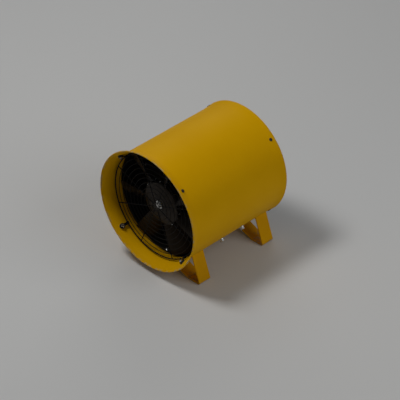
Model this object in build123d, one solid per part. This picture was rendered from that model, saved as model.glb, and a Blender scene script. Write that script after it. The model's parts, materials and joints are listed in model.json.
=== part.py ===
from build123d import *
import os
from math import asin, cos, degrees, radians, sin, sqrt, tan

# Axial air mover: a steel drum with a bell-mouth inlet at the front (-Y) and a beaded outlet
# at the rear (+Y). A motor on a bent cradle turns a bladed fan just behind the inlet guard.
# Everything is modelled about the drum's axis (local x and z from the axis, y along it), and
# place() lifts it to the stand height. Millimetres, +Z up.

# ---- drum
drum_r = 204.0
drum_wall = 1.6
drum_len = 462.0
front_y = -drum_len / 2
rear_y = drum_len / 2
flare_r = 222.6
flare_len = 41.0
rim_bead = 2.2
rear_bead = 2.4
inner_r = drum_r - drum_wall
axis_height = 249.0

# ---- guard fixings, four at each end on the diagonals
fixing_angles = (45, 135, 225, 315)
front_fixing_y = front_y + 26.0
rear_fixing_y = rear_y - 18.5
screw_r = 3.0
head_r = 6.0
head_h = 3.2
pad_r = 9.5
pad_t = 4.0
clip_t = 2.5
clip_w = 10.0
clip_reach = 22.0
nut_h = 5.0
nut_flats = 10.0
clear = 0.2
hook_gap = 0.1

# ---- wire guards
rim_wire = 2.0
ring_wire = 1.1
spoke_wire = 1.6
ring_count = 11
core_ring_r = 16.0
spoke_count = 8
weld_sink = 0.6

# ---- strap feet
strap_t = 4.0
strap_w = 51.0
front_strap_y = front_y + 72.0
rear_strap_y = rear_y - 33.0 - strap_w
foot_x = 180.5
pad_len = 58.0
leg_splay = 19.5
seat_half = 20.0
strap_bend = 7.0
foot_bolt_r = 4.0

# ---- motor cradle
cradle_t = 3.0
cradle_y = (-48.0, 100.0)
cradle_bolt_y = (-23.0, 75.0)
cradle_bolt_r = 4.0
cradle_flange = 16.0
platform_z = -92.0
platform_half = 78.0

# ---- motor
motor_r = 80.0
motor_wall = 3.0
motor_y = (-78.0, 108.0)
bell_len = 20.0
stator_y = (-10.0, 70.0)
stator_bore = 48.0
rotor_r = 47.6
slot_count = 24
shaft_r = 8.0
journal_r = 8.5
race_r = 20.0
race_w = 12.0
ball_pitch = 14.25
ball_r = 3.2
ball_count = 8
front_bearing_y = -87.0
rear_bearing_y = 117.0
through_r = 73.5
foot_bracket_x = 50.0
motor_bolt_x = 66.0
motor_bolt_y = (-30.0, 78.0)
motor_bolt_r = 3.5
cover_tab_y = (-5.0, 99.0)
conduit_r = 8.0

# ---- fan
fan_y = -143.0
hub_r = 76.0
hub_wall = 4.0
hub_depth = 48.0
hub_front = fan_y - 26.0
hub_rear = hub_front + hub_depth
dome_rise = 8.0
dome_r = (hub_r ** 2 + dome_rise ** 2) / (2 * dome_rise)
seat_r = 16.0
key_w = 5.0
key_len = 32.0
tip_r = 193.5
blade_count = 7
blade_t = 3.0
blade_phase = 243.0
# Each blade's two screws sit either side of its root, as (step along y, step in degrees).
screw_steps = ((9, -9.5), (-9, 9.5))

# ---- switch box on the left side
box_y = (-50.0, 50.0)
box_half = 32.0
box_face = 240.0
box_wall = 3.0
cover_t = 2.5
pivot_u = 239.5
rocker_r = 13.0
rocker_half = 7.0
rocker_tilt = 10.0
rocker_end = 247.4
gland_y = -25.0
gland_bore = 5.0
grommet_r = 10.0
box_screw_r = 2.5
box_screw_y = (-38.0, 38.0)
corner_screws = [(y, z) for y in (-44.0, 44.0) for z in (-26.0, 26.0)]

# The switch side stands further out than the flare, so the drum sits off centre by half of that.
axis_x = (rocker_end - flare_r) / 2


def place(shape):
    return Pos(axis_x, 0, axis_height) * shape


def spin_up(face):
    # Turn a profile drawn as (radius, y) about the drum's axis.
    return revolve(face, Axis.Y, 360)


def along_y(r, y0, y1, x=0.0, z=0.0):
    return Pos(x, (y0 + y1) / 2, z) * Rot(90, 0, 0) * Cylinder(r, abs(y1 - y0))


def ring_y(r_out, r_in, y0, y1):
    middle, span = (y0 + y1) / 2, abs(y1 - y0)
    return Pos(0, middle, 0) * Rot(90, 0, 0) * (Cylinder(r_out, span) - Cylinder(r_in, span + 2))


def wire_ring(r, wire, y):
    return Pos(0, y, 0) * Rot(90, 0, 0) * Torus(r, wire)


def turned(angle):
    # The local x axis points outward at this angle, measured up from +x.
    return Rot(0, -angle, 0)


def along_x(r, x0, x1):
    return Pos((x0 + x1) / 2, 0, 0) * Rot(0, 90, 0) * Cylinder(r, abs(x1 - x0))


def hex_x(flats, x0, x1):
    prism = extrude(Plane.YZ * RegularPolygon(flats / 2, 6, major_radius=False), x1 - x0)
    return Pos(x0, 0, 0) * prism


def bent_strip(points, thickness, bend, y0, y1):
    # A strip of flat bar: the points are one face in (x, z), the thickness lies to its left.
    path = FilletPolyline(*points, radius=bend)
    outline = offset(path, thickness, side=Side.LEFT, closed=True)
    strip = extrude(Plane.XZ * make_face(outline), y1 - y0)
    return Pos(0, y1, 0) * strip


def group(shapes):
    return Compound(children=list(shapes))


# ---------------------------------------------------------------- drum

flare_run = flare_len - rim_bead
flare_rise = flare_r - rim_bead + drum_wall / 2 - drum_r
flare_arc_r = (flare_run ** 2 + flare_rise ** 2) / (2 * flare_rise)


def flare_at(y):
    # Outer radius of the drum wall and its slope in degrees, at a place along the axis.
    run = (front_y + flare_len) - y
    if run <= 0:
        return drum_r, 0.0
    slope = asin(run / flare_arc_r)
    return drum_r + flare_arc_r * (1 - cos(slope)), degrees(slope)


def wall_line(inset):
    # The wall's line from the front rim to the rear end, set in from the outer face.
    arc_r = flare_arc_r + inset
    start_y = front_y + rim_bead
    end_y = rear_y - rear_bead
    bend_y = front_y + flare_len
    angle = asin((bend_y - start_y) / arc_r)
    centre_r = drum_r + flare_arc_r

    def at(a):
        return (centre_r - arc_r * cos(a), bend_y - arc_r * sin(a))

    arc = ThreePointArc(at(angle), at(angle / 2), at(0))
    return arc, Line(at(0), (drum_r - inset, end_y))


def barrel_profile():
    outer_arc, outer_line = wall_line(0)
    inner_arc, inner_line = wall_line(drum_wall)
    front = Line(outer_arc @ 0, inner_arc @ 0)
    rear = Line(outer_line @ 1, inner_line @ 1)
    return make_face(Wire([outer_arc, outer_line, rear, inner_line, inner_arc, front]))


def bore_space():
    # The space inside the drum wall, used to trim what seats against it.
    inner_arc, inner_line = wall_line(drum_wall)
    first, last = inner_arc @ 0, inner_line @ 1
    lid = Line(last, (0, last.Y))
    axis = Line((0, last.Y), (0, first.Y))
    base = Line((0, first.Y), first)
    return spin_up(make_face(Wire([inner_arc, inner_line, lid, axis, base])))


def fixing(angle, y):
    # Local frame of a guard fixing: x square to the wall, from its outer face.
    r, slope = flare_at(y)
    return turned(angle) * Pos(r, y, 0) * Rot(0, 0, slope)


def fixing_places():
    front = [fixing(a, front_fixing_y) for a in fixing_angles]
    rear = [fixing(a, rear_fixing_y) * Rot(180, 0, 0) for a in fixing_angles]
    return front, rear


def barrel_shell():
    shell = spin_up(barrel_profile())
    start = wall_line(drum_wall / 2)[0] @ 0
    shell += wire_ring(start.X, rim_bead, front_y + rim_bead)
    shell += wire_ring(drum_r + rear_bead / 4, rear_bead, rear_y - rear_bead)
    cuts = []
    front, rear = fixing_places()
    cuts += [spot * along_x(screw_r + clear, -12, 12) for spot in front + rear]
    for side in (-45, 225):
        for y in cradle_bolt_y:
            cuts.append(Pos(0, y, 0) * turned(side) * along_x(cradle_bolt_r + clear, 190, 215))
    for y in strap_centres:
        cuts.append(Pos(0, y, 0) * turned(-90) * along_x(foot_bolt_r + clear, 190, 215))
    cuts.append(turned(180) * along_x(grommet_r, 190, 215))
    for y in box_screw_y:
        cuts.append(Pos(0, y, 0) * turned(180) * along_x(box_screw_r + clear, 190, 215))
    return shell - cuts


# ---------------------------------------------------------------- guards and their fixings

def guard_place(y, lead):
    # Radius and y of a guard's rim wire, where the clip's end holds it.
    r, slope = flare_at(y)
    depth = drum_wall + pad_t + clip_t / 2
    ex = (cos(radians(slope)), sin(radians(slope)))
    ey = (-ex[1] * lead, ex[0] * lead)
    return (r - depth * ex[0] + clip_reach * ey[0], y - depth * ex[1] + clip_reach * ey[1])


def guard(y, rim_r, spoke_side):
    rim = wire_ring(rim_r, rim_wire, y)
    gap = (rim_r - core_ring_r) / (ring_count - 1)
    rings = [wire_ring(core_ring_r + gap * i, ring_wire, y) for i in range(ring_count - 1)]
    spoke_y = y + spoke_side * (ring_wire + spoke_wire - weld_sink)
    spokes = []
    for i in range(spoke_count):
        bar = along_x(spoke_wire, core_ring_r - 1, rim_r + 0.5)
        spokes.append(Pos(0, spoke_y, 0) * turned(i * 360 / spoke_count + 22.5) * bar)
    return rim.fuse(*rings, *spokes)


def guard_screws(spots):
    out = []
    for spot in spots:
        head = along_x(head_r, 0.35, head_h)
        head = fillet(head.edges().sort_by(Axis.X)[-1], 1.6)
        slot = Pos(head_h, 0, 0) * (Box(2.4, 1.2, 7) + Box(2.4, 7, 1.2))
        shank = along_x(screw_r - 0.05, -(drum_wall + pad_t + clip_t + nut_h + 2), 0.35)
        out.append(spot * (head - slot + shank))
    return group(out)


def guard_pads(spots, space):
    disc = along_x(pad_r, -(drum_wall + pad_t), 1.5) - along_x(screw_r + clear, -20, 20)
    disc = fillet(disc.edges().filter_by(GeomType.CIRCLE).sort_by(Axis.X)[0:1], 0.8)
    return group([(spot * disc) & space for spot in spots])


def guard_clips(spots, rim):
    # The rim given here is a little thicker than the guard's own, so the hook clears it.
    back = -(drum_wall + pad_t)
    strip = Pos(back - clip_t / 2, clip_reach / 2 - 2, 0) * Box(clip_t, clip_reach + 12, clip_w)
    hook = Pos(back - clip_t / 2, clip_reach, 0) * Box(7.5, 8, clip_w)
    hook = fillet(hook.edges().filter_by(Axis.Z), 1.2)
    clip = strip + hook - along_x(screw_r + clear, -20, 20)
    return group([(spot * clip) - rim for spot in spots])


def guard_nuts(spots):
    start = -(drum_wall + pad_t + clip_t + nut_h)
    nut = hex_x(nut_flats, start, start + nut_h) - along_x(screw_r, -30, 30)
    return group([spot * nut for spot in spots])


# ---------------------------------------------------------------- feet

strap_centres = (front_strap_y + strap_w / 2, rear_strap_y + strap_w / 2)


def strap_foot(y0):
    lean = radians(leg_splay)
    rise = 118.0
    top = (foot_x - rise * tan(lean), -axis_height + rise)
    half = [top, (foot_x, -axis_height), (foot_x - pad_len, -axis_height),
            (seat_half, -drum_r - strap_t)]
    points = [(-x, z) for x, z in half] + [(x, z) for x, z in reversed(half)]
    strap = bent_strip(points, strap_t, strap_bend, y0, y0 + strap_w)
    strap -= along_y(drum_r, y0 - 5, y0 + strap_w + 5)
    middle = Pos(0, y0 + strap_w / 2, 0) * turned(-90)
    return strap - middle * along_x(foot_bolt_r + clear, 200, 215)


def foot_bolts():
    out = []
    for y in strap_centres:
        dome = Pos(inner_r - 3.6, 0, 0) * Rot(0, 90, 0) * Cone(5, 9.5, 3.4, align=low)
        shank = along_x(foot_bolt_r - 0.05, inner_r - 0.3, drum_r + strap_t + 11)
        out.append(Pos(0, y, 0) * turned(-90) * (dome + shank))
    return group(out)


def foot_nuts():
    start = drum_r + strap_t
    out = []
    for y in strap_centres:
        washer = along_x(9, start, start + 1.6)
        nut = hex_x(13, start + 1.6, start + 8.4)
        body = washer + nut - along_x(foot_bolt_r, 200, 240)
        out.append(Pos(0, y, 0) * turned(-90) * body)
    return group(out)


# ---------------------------------------------------------------- motor cradle

low = (Align.CENTER, Align.CENTER, Align.MIN)
flange_r = inner_r - 1.0


def cradle_corner(side_step):
    # A point on the flange's outer face, stepped along the flange from the bolt.
    half = sqrt(0.5)
    return (flange_r * half + side_step * half, -flange_r * half + side_step * half)


def motor_cradle(space):
    heel = cradle_corner(-cradle_flange)
    toe = cradle_corner(cradle_flange)
    half = [toe, heel, (platform_half, platform_z - cradle_t)]
    points = [(-x, z) for x, z in half] + [(x, z) for x, z in reversed(half)]
    plate = bent_strip(points, cradle_t, 5.0, *cradle_y)
    for side in (-45, 225):
        for y in cradle_bolt_y:
            plate -= Pos(0, y, 0) * turned(side) * along_x(cradle_bolt_r + clear, 185, 215)
    for x in (-motor_bolt_x, motor_bolt_x):
        for y in motor_bolt_y:
            plate -= Pos(x, y, platform_z) * Cylinder(motor_bolt_r + clear, 20)
    return plate & space


def cradle_bolts():
    out = []
    for side in (-45, 225):
        for y in cradle_bolt_y:
            flange = along_x(10.5, drum_r, drum_r + 2.4)
            head = hex_x(14, drum_r + 2.4, drum_r + 10.5)
            head = fillet(head.edges().sort_by(Axis.X)[-6:], 0.8)
            shank = along_x(cradle_bolt_r - 0.05, flange_r - cradle_t - 9, drum_r)
            out.append(Pos(0, y, 0) * turned(side) * (flange + head + shank))
    return group(out)


def cradle_nuts():
    out = []
    seat = flange_r - cradle_t
    for side in (-45, 225):
        for y in cradle_bolt_y:
            body = along_x(8.0, seat - 1.5, seat) + hex_x(13, seat - 8, seat - 1.5)
            body -= along_x(cradle_bolt_r, 150, 210)
            out.append(Pos(0, y, 0) * turned(side) * body)
    return group(out)


# ---------------------------------------------------------------- motor

def motor_feet():
    out = []
    for side in (-1, 1):
        inner = foot_bracket_x
        points = [(inner, -50.0), (inner, platform_z), (platform_half, platform_z)]
        bracket = bent_strip(points, cradle_t, 2.0, -44.0, 92.0)
        if side < 0:
            bracket = mirror(bracket, Plane.YZ)
        bracket -= along_y(motor_r, -60, 110)
        for y in motor_bolt_y:
            bracket -= Pos(side * motor_bolt_x, y, platform_z) * Cylinder(motor_bolt_r + clear, 20)
        out.append(bracket)
    return group(out)


def motor_foot_bolts():
    out = []
    for x in (-motor_bolt_x, motor_bolt_x):
        for y in motor_bolt_y:
            head = hex_x(11, cradle_t, cradle_t + 4.5)
            shank = along_x(motor_bolt_r - 0.05, -cradle_t - 9, cradle_t)
            out.append(Pos(x, y, platform_z) * Rot(0, -90, 0) * (head + shank))
    return group(out)


def motor_foot_nuts():
    out = []
    for x in (-motor_bolt_x, motor_bolt_x):
        for y in motor_bolt_y:
            nut = hex_x(11, -cradle_t - 5.5, -cradle_t) - along_x(motor_bolt_r, -30, 30)
            out.append(Pos(x, y, platform_z) * Rot(0, -90, 0) * nut)
    return group(out)


def motor_shell():
    shell = ring_y(motor_r, motor_r - motor_wall, *motor_y)
    return shell - turned(180) * along_x(conduit_r + clear, 60, 90)


def through_places():
    return [turned(a) * Pos(through_r, 0, 0) for a in fixing_angles]


def end_bell(inner_end, outer_end, bearing, shaft_hole):
    # A cast end bell: rim ring, sloping dish with vents, and a boss round the bearing.
    out = 1 if outer_end > inner_end else -1
    rim_y = inner_end + out * 8
    outline = [(motor_r, inner_end), (motor_r, rim_y), (68, rim_y), (32, outer_end), (0, outer_end),
               (0, outer_end - out * 4), (27, outer_end - out * 4), (60, rim_y - out * 4),
               (66, inner_end)]
    dish = spin_up(make_face(Polyline(*outline, close=True)))
    boss = ring_y(race_r + 5, race_r, bearing - race_w / 2, outer_end - out * 2)
    bell = dish + boss
    bell -= along_y(race_r, bearing - race_w / 2, bearing + race_w / 2)
    if shaft_hole:
        bell -= along_y(journal_r + 1.0, inner_end, outer_end + out * 5)
    for i in range(8):
        bell -= turned(i * 45 + 22.5) * Pos(48, inner_end, 0) * Box(14, 60, 12)
    for spot in through_places():
        bell -= spot * along_y(2.2, inner_end - 40, inner_end + 40)
    return bell


def through_bolts():
    front_end = motor_y[0] - 8
    rear_end = motor_y[1] + 8
    out = []
    for spot in through_places():
        bolt = along_y(2.0, front_end, rear_end + 5)
        head = Pos(0, front_end, 0) * Rot(0, 0, -90) * hex_x(7, 0, 3)
        nut = Pos(0, rear_end + 3, 0) * Rot(0, 0, -90) * hex_x(7, 0, 3)
        out.append(spot * (bolt + head + nut))
    return group(out)


def stator_core():
    core = ring_y(motor_r - motor_wall - 0.05, stator_bore, *stator_y)
    middle, span = sum(stator_y) / 2, stator_y[1] - stator_y[0]
    slot = Pos(60, middle, 0) * Box(14, span + 2, 5)
    mouth = Pos(51, middle, 0) * Box(10, span + 2, 2)
    cuts = [turned(i * 360 / slot_count) * (slot + mouth) for i in range(slot_count)]
    cuts += [spot * along_y(2.4, stator_y[0] - 1, stator_y[1] + 1) for spot in through_places()]
    return core - cuts


def stator_windings():
    middle, span = sum(stator_y) / 2, stator_y[1] - stator_y[0]
    coil = Pos(60, middle, 0) * Box(13.4, span + 8, 4.4)
    ends = []
    for y0, y1 in ((stator_y[0] - 20, stator_y[0]), (stator_y[1], stator_y[1] + 20)):
        turns = ring_y(69, 52.5, y0, y1)
        ends.append(fillet(turns.edges().filter_by(GeomType.CIRCLE), 5))
    coils = [turned(i * 360 / slot_count) * coil for i in range(slot_count)]
    return ends[0].fuse(ends[1], *coils)


def bearing_grooves():
    return [wire_ring(ball_pitch, ball_r + 0.2, y) for y in (front_bearing_y, rear_bearing_y)]


def outer_races():
    out = []
    for y, groove in zip((front_bearing_y, rear_bearing_y), bearing_grooves()):
        out.append(ring_y(race_r, 17.2, y - race_w / 2, y + race_w / 2) - groove)
    return group(out)


def inner_races():
    out = []
    for y, groove in zip((front_bearing_y, rear_bearing_y), bearing_grooves()):
        out.append(ring_y(11.3, journal_r, y - race_w / 2, y + race_w / 2) - groove)
    return group(out)


def ball_places(y):
    return [Pos(0, y, 0) * turned(i * 360 / ball_count) * Pos(ball_pitch, 0, 0)
            for i in range(ball_count)]


def bearing_balls():
    return group([spot * Sphere(ball_r) for y in (front_bearing_y, rear_bearing_y)
                  for spot in ball_places(y)])


def ball_cages():
    out = []
    for y in (front_bearing_y, rear_bearing_y):
        cage = ring_y(15.4, 13.1, y - 4.4, y + 4.4)
        pocket = along_x(ball_r + 0.1, 10 - ball_pitch, 18 - ball_pitch)
        out.append(cage - [spot * pocket for spot in ball_places(y)])
    return group(out)


def run_capacitor():
    can = along_y(17, 8, 84, z=motor_r + 20)
    return fillet(can.edges().filter_by(GeomType.CIRCLE), 2)


def capacitor_cover():
    z0 = motor_r + 20
    y0, y1 = 2.0, 92.0
    middle, span = (y0 + y1) / 2, y1 - y0

    def hump(r, a, b):
        skirt = Pos(0, (a + b) / 2, z0 - 20) * Box(2 * r, b - a, 40)
        return along_y(r, a, b, z=z0) + skirt

    flange = Pos(0, middle, z0 - 19) * Box(2 * 22, span + 28, 2.0)
    cover = hump(22, y0, y1) - hump(20.2, y0 + 2, y1 - 2)
    tabs = flange - Pos(0, middle, z0 - 19) * Box(100, span - 1, 10)
    cover = cover - along_y(motor_r, -60, 120)
    tabs = tabs - [Pos(0, y, z0) * Cylinder(2.2, 60) for y in cover_tab_y]
    return cover + tabs


def capacitor_screws():
    out = []
    for y in cover_tab_y:
        head = along_x(4.0, motor_r + 2.05, motor_r + 4.6)
        out.append(Pos(0, y, 0) * turned(90) * (head + along_x(2.1, motor_r + 0.05, motor_r + 2.05)))
    return group(out)


# ---------------------------------------------------------------- turning parts

def motor_shaft():
    shaft = along_y(shaft_r, hub_seat + 0.5, front_bearing_y - race_w / 2 - 2)
    shaft += along_y(journal_r, front_bearing_y - race_w / 2 - 2, rear_bearing_y + race_w / 2)
    shaft -= Pos(0, fan_y, shaft_r) * Box(key_w, key_len, key_w)
    return shaft - along_y(3.05, hub_seat, hub_seat + 18)


def shaft_key():
    return Pos(0, fan_y, shaft_r) * Box(key_w, key_len, key_w)


def rotor_core():
    return ring_y(rotor_r, journal_r, *stator_y)


def rotor_cage():
    # Cast end rings with fins that stir the air inside the motor.
    out = []
    for y0, y1, fin0, fin1 in ((stator_y[0] - 10, stator_y[0], stator_y[0] - 20, stator_y[0] - 9),
                               (stator_y[1], stator_y[1] + 10, stator_y[1] + 9, stator_y[1] + 20)):
        ring = ring_y(46, 24, y0, y1)
        fin = Pos(39, (fin0 + fin1) / 2, 0) * Box(13, fin1 - fin0, 3)
        out.append(ring.fuse(*[turned(i * 30) * fin for i in range(12)]))
    return group(out)


def dome_y(r):
    # Where the hub's domed front face lies, at a radius.
    return hub_front + dome_r - sqrt(dome_r ** 2 - r ** 2)


hub_seat = dome_y(seat_r)


def dome_arc(r0, r1, back):
    middle = (r0 + r1) / 2
    return ThreePointArc(*[(r, dome_y(r) + back) for r in (r0, middle, r1)])


def fan_hub():
    face = dome_arc(seat_r, hub_r, 0)
    inner = dome_arc(hub_r - hub_wall, 20, hub_wall)
    side = Polyline(face @ 1, (hub_r, hub_rear), (hub_r - hub_wall, hub_rear), inner @ 0)
    boss = Polyline(inner @ 1, (20, hub_rear - 2), (shaft_r, hub_rear - 2), (shaft_r, hub_seat), face @ 0)
    drum = spin_up(make_face(face + side + inner + boss))
    web = Pos(45, (hub_front + hub_rear) / 2 + 2, 0) * Box(54.5, hub_depth - 26, 4)
    drum = drum.fuse(*[turned(i * 60 + 30) * web for i in range(6)])
    drum -= Pos(0, fan_y, shaft_r) * Box(key_w, hub_depth + 10, key_w)
    drum -= turned(180) * Pos(0, fan_y + 14, 0) * along_x(3.0, 0, 22)
    return drum - [spot * along_x(2.2, hub_r - 8, hub_r + 8) for spot in blade_screw_places()]


def hub_set_screw():
    return Pos(0, fan_y + 14, 0) * turned(180) * along_x(2.95, shaft_r, 17.5)


def hub_end_bolt():
    start = hub_seat
    washer = along_y(15, start - 3.0, start)
    washer = fillet(washer.edges().sort_by(Axis.Y)[0:1], 1)
    head = Pos(0, start - 8.0, 0) * Rot(0, 0, 90) * hex_x(13, 0, 5)
    return washer + head + along_y(3.0, start, start + 16)


def blade_angles():
    return [blade_phase + i * 360 / blade_count for i in range(blade_count)]


def blade_screw_places():
    out = []
    for angle in blade_angles():
        for step_y, step_a in screw_steps:
            out.append(Pos(0, fan_y + step_y, 0) * turned(angle + step_a))
    return out


def blade_section(r, chord, pitch, camber):
    # A cambered strip, leading edge toward the inlet, drawn square to the radius.
    c, s = cos(radians(pitch)), sin(radians(pitch))
    plane = Plane(origin=(r, fan_y, 0), x_dir=(0, s, c), z_dir=(1, 0, 0))
    half, up = chord / 2, camber * chord
    top = ThreePointArc((-half, 0), (0, up + blade_t / 2), (half, 0.3))
    low_arc = ThreePointArc((-half, -0.8), (0, up - blade_t / 2), (half, -0.5))
    edges = [top, Line(top @ 1, low_arc @ 1), low_arc, Line(low_arc @ 0, top @ 0)]
    return plane * make_face(Wire(edges))


def fan_blade(angle):
    stations = ((hub_r - 4, 56, 43), (110, 66, 36), (150, 76, 30), (tip_r + 6, 86, 25))
    sections = [blade_section(r, chord, pitch, 0.07) for r, chord, pitch in stations]
    blade = loft(sections)
    foot = ring_y(hub_r + blade_t, hub_r, fan_y - 16, fan_y + 16)
    foot = foot & Pos(hub_r, fan_y, 0) * Box(30, 40, 40)
    blade = (blade & ring_y(tip_r, hub_r + 1, fan_y - 60, fan_y + 60)) + foot
    for step_y, step_a in screw_steps:
        blade -= Pos(0, fan_y + step_y, 0) * turned(step_a) * along_x(2.2, hub_r - 5, hub_r + 8)
    return turned(angle) * blade


def blade_screws():
    out = []
    seat = hub_r + blade_t + 0.15
    for spot in blade_screw_places():
        head = along_x(4.2, seat, seat + 2.2)
        out.append(spot * (head + along_x(2.1, hub_r - hub_wall - 2, seat)))
    return group(out)


# ---------------------------------------------------------------- switch box, inlet and conduit

def out_box(u0, u1, y0, y1, z0, z1):
    # A block on the left side, from u0 to u1 out from the axis.
    return Pos(-(u0 + u1) / 2, (y0 + y1) / 2, (z0 + z1) / 2) * Box(u1 - u0, y1 - y0, z1 - z0)


def switch_box():
    y0, y1 = box_y
    body = out_box(195, box_face, y0, y1, -box_half, box_half)
    body = fillet(body.edges().filter_by(Axis.X), 5)
    inside = out_box(208, box_face + 5, y0 + box_wall, y1 - box_wall,
                     -box_half + box_wall, box_half - box_wall)
    inside = fillet(inside.edges().filter_by(Axis.X), 3)
    posts = [Pos(0, y, z) * turned(180) * along_x(4.2, 207, box_face) for y, z in corner_screws]
    body = (body - inside).fuse(*[post & out_box(206, box_face, y0, y1, -box_half, box_half)
                                  for post in posts])
    body -= along_y(drum_r, y0 - 5, y1 + 5)
    body -= [Pos(0, y, z) * turned(180) * along_x(1.6, 225, 250) for y, z in corner_screws]
    body -= turned(180) * along_x(grommet_r, 190, 215)
    body -= [Pos(0, y, 0) * turned(180) * along_x(box_screw_r + clear, 190, 215) for y in box_screw_y]
    return body - gland_place() * along_x(8.0 + clear, -10, 10)


def gland_place():
    # Local x points down through the box's lower wall, from its outer face.
    return Pos(-224, gland_y, -box_half) * turned(-90)


def box_cover():
    plate = out_box(box_face, box_face + cover_t, *box_y, -box_half, box_half)
    plate = fillet(plate.edges().filter_by(Axis.X), 5)
    plate -= out_box(box_face - 2, box_face + 6, -10.5, 10.5, -16.5, 16.5)
    return plate - [Pos(0, y, z) * turned(180) * along_x(1.9, 230, 250) for y, z in corner_screws]


def cover_screws():
    out = []
    seat = box_face + cover_t
    for y, z in corner_screws:
        screw = along_x(3.2, seat, seat + 2.0) + along_x(1.55, 228, seat)
        out.append(Pos(0, y, z) * turned(180) * screw)
    return group(out)


def box_screws():
    out = []
    for y in box_screw_y:
        screw = along_x(4.6, 208, 210.5) + along_x(box_screw_r - 0.05, inner_r - 6, 208)
        out.append(Pos(0, y, 0) * turned(180) * screw)
    return group(out)


def box_nuts():
    out = []
    for y in box_screw_y:
        nut = hex_x(8, inner_r - 4.6, inner_r - 0.1) - along_x(box_screw_r, 190, 210)
        out.append(Pos(0, y, 0) * turned(180) * nut)
    return group(out)


def switch_body():
    body = out_box(pivot_u - 24, box_face + cover_t, -10.5, 10.5, -16.5, 16.5)
    body += out_box(box_face + cover_t, box_face + cover_t + 1.4, -13, 13, -19, 19)
    room = along_y(rocker_r + 0.4, -rocker_half - 0.4, rocker_half + 0.4, x=-pivot_u)
    body -= room
    body -= out_box(pivot_u, pivot_u + 20, -rocker_half - 0.4, rocker_half + 0.4,
                    -rocker_r - 0.4, rocker_r + 0.4)
    return body - along_y(1.0, -9.5, 9.5, x=-pivot_u)


def rocker_pin():
    return along_y(1.0, -9.5, 9.5, x=-pivot_u)


def switch_rocker():
    high = 4.0 + 14 * tan(radians(rocker_tilt))
    outline = [(3, -14), (3, 14), (-high, 14), (-4, 0), (-high, -14)]
    wedge = extrude(Plane.XZ * make_face(Polyline(*outline, close=True)), rocker_half, both=True)
    rocker = wedge & along_y(rocker_r, -20, 20)
    rocker -= along_y(1.06, -20, 20)
    return Pos(-pivot_u, 0, 0) * Rot(0, rocker_tilt, 0) * rocker


def cord_gland():
    body = along_x(10.5, 0, 3) + hex_x(19, 3, 10) + along_x(8.8, 10, 20)
    body += along_x(8.0, -box_wall - 6, 0)
    body = fillet(body.edges().filter_by(GeomType.CIRCLE).sort_by(Axis.X)[-1:], 2.5)
    return gland_place() * (body - along_x(gland_bore, -30, 40))


def gland_nut():
    nut = hex_x(20, -box_wall - 4.5, -box_wall) - along_x(8.0, -20, 5)
    return gland_place() * nut


def wall_grommet():
    sleeve = along_x(grommet_r, inner_r, 208.0)
    lip = along_x(13, 208.0, 210.0)
    inner_lip = along_x(13, inner_r - 2.5, inner_r - 0.5) + along_x(grommet_r, inner_r - 0.6, inner_r)
    return turned(180) * (sleeve + lip + inner_lip - along_x(conduit_r, 180, 220))


def conduit():
    # A stiff sleeve carries the motor's leads from the box to the motor.
    start = motor_r - motor_wall + 0.3
    tube = along_x(conduit_r, start, 212) - along_x(conduit_r - 1.2, start - 2, 214)
    return turned(180) * tube


def conduit_nuts():
    nut = hex_x(22, motor_r + 0.9, motor_r + 7) - along_x(conduit_r, 60, 100)
    return turned(180) * nut


# ---------------------------------------------------------------- write every piece

def build():
    space = bore_space()
    front, rear = fixing_places()
    rim_r, rim_y = guard_place(front_fixing_y, 1)
    back_r, back_y = guard_place(rear_fixing_y, -1)
    pieces = {
        "barrel_shell": barrel_shell(),
        "front_guard": guard(rim_y, rim_r, 1),
        "rear_guard": guard(back_y, back_r, -1),
        "guard_screws": guard_screws(front + rear),
        "guard_pads": guard_pads(front + rear, space),
        "front_guard_clips": guard_clips(front, wire_ring(rim_r, rim_wire + hook_gap, rim_y)),
        "rear_guard_clips": guard_clips(rear, wire_ring(back_r, rim_wire + hook_gap, back_y)),
        "guard_nuts": guard_nuts(front + rear),
        "front_foot": strap_foot(front_strap_y),
        "rear_foot": strap_foot(rear_strap_y),
        "foot_bolts": foot_bolts(),
        "foot_nuts": foot_nuts(),
        "motor_cradle": motor_cradle(space),
        "cradle_bolts": cradle_bolts(),
        "cradle_nuts": cradle_nuts(),
        "motor_feet": motor_feet(),
        "motor_foot_bolts": motor_foot_bolts(),
        "motor_foot_nuts": motor_foot_nuts(),
        "motor_shell": motor_shell(),
        "front_end_bell": end_bell(motor_y[0], motor_y[0] - bell_len, front_bearing_y, True),
        "rear_end_bell": end_bell(motor_y[1], motor_y[1] + bell_len, rear_bearing_y, False),
        "through_bolts": through_bolts(),
        "stator_core": stator_core(),
        "stator_windings": stator_windings(),
        "bearing_outer_races": outer_races(),
        "bearing_inner_races": inner_races(),
        "bearing_balls": bearing_balls(),
        "ball_cages": ball_cages(),
        "run_capacitor": run_capacitor(),
        "capacitor_cover": capacitor_cover(),
        "capacitor_screws": capacitor_screws(),
        "motor_shaft": motor_shaft(),
        "shaft_key": shaft_key(),
        "rotor_core": rotor_core(),
        "rotor_cage": rotor_cage(),
        "fan_hub": fan_hub(),
        "hub_set_screw": hub_set_screw(),
        "hub_end_bolt": hub_end_bolt(),
        "blade_screws": blade_screws(),
        "switch_box": switch_box(),
        "box_cover": box_cover(),
        "cover_screws": cover_screws(),
        "box_screws": box_screws(),
        "box_nuts": box_nuts(),
        "switch_body": switch_body(),
        "rocker_pin": rocker_pin(),
        "switch_rocker": switch_rocker(),
        "cord_gland": cord_gland(),
        "gland_nut": gland_nut(),
        "wall_grommet": wall_grommet(),
        "conduit": conduit(),
        "conduit_nut": conduit_nuts(),
    }
    for number, angle in enumerate(blade_angles(), start=1):
        pieces["fan_blade_%d" % number] = fan_blade(angle)
    return pieces


os.makedirs("parts", exist_ok=True)
for name, piece in build().items():
    export_step(place(piece), "parts/%s.step" % name)
    print(name, round(piece.volume / 1000, 2), "cm3")
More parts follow.
